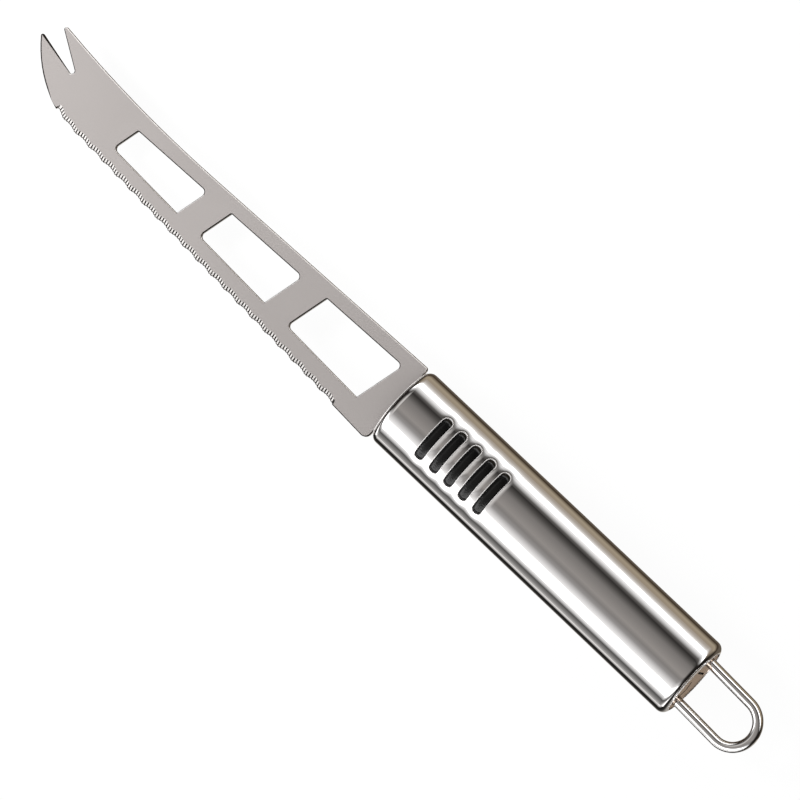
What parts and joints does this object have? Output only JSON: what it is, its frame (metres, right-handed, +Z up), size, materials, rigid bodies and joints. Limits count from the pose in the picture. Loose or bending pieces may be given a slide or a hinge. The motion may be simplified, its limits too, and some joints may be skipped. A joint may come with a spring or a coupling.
{
  "type": "cheese_knife",
  "caption": "Cheese knife with a forked, serrated and windowed steel blade, an oval steel tube handle with black rubber ribs, and a wire hanging loop",
  "frame": {"origin": "middle of the underside of the bounding box, with the knife lying flat", "axes": "+X runs along the handle to the hanging loop, +Y points to the back of the blade, +Z points up off the flat side"},
  "size_m": [0.27, 0.0248, 0.0159],
  "materials": {
    "blade_steel": "fine matte satin",
    "handle_steel": "bright polish with fine drawing lines",
    "grip_rubber": "semi-matte black",
    "core_plastic": "moulded, unfinished",
    "inner_steel": "plain drawn",
    "cap_steel": "satin pressed",
    "loop_steel": "polished wire"
  },
  "bodies": {
    "root": {"blade": "blade_steel", "front_plate": "handle_steel", "handle_tube": "handle_steel", "grip_insert": "grip_rubber", "core_upper": "core_plastic", "core_lower": "core_plastic", "tang_pins": "inner_steel", "end_cap": "cap_steel", "hanging_loop": "loop_steel", "loop_keeper": "inner_steel"}
  },
  "joints": []
}
